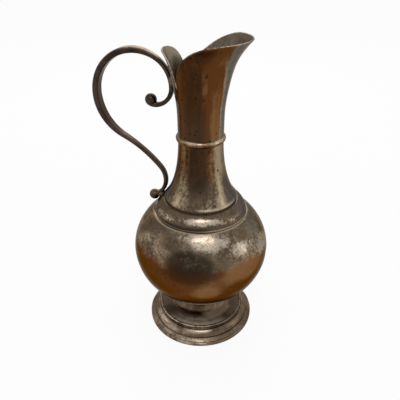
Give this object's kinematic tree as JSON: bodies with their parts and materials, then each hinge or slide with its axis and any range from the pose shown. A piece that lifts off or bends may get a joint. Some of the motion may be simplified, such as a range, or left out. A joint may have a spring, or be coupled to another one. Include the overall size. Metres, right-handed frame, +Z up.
{
  "type": "pitcher",
  "caption": "Tall footed ewer with a round bowl, a banded shoulder, a slender ringed neck, a flared pouring mouth with a back tab and a scroll handle.",
  "frame": {"origin": "centre of the foot's rest ring, on the axis of the vessel at table level", "axes": "+Z up along the axis of the vessel, +X towards the pouring lip, the handle towards -X"},
  "size_m": [0.1416, 0.1134, 0.2479],
  "materials": {
    "body_pewter": "tarnished pewter, satin, with warm brown streaks",
    "foot_pewter": "worn pewter, satin",
    "handle_pewter": "dark cast pewter, satin",
    "solder": "soft solder, dull"
  },
  "bodies": {
    "root": {"foot": "foot_pewter", "foot_solder": "solder", "lower_bowl": "body_pewter", "upper_bowl": "body_pewter", "shoulder_band": "body_pewter", "neck": "body_pewter", "neck_ring": "foot_pewter", "mouth": "body_pewter", "handle": "handle_pewter", "upper_handle_solder": "solder", "lower_handle_solder": "solder"}
  },
  "joints": []
}
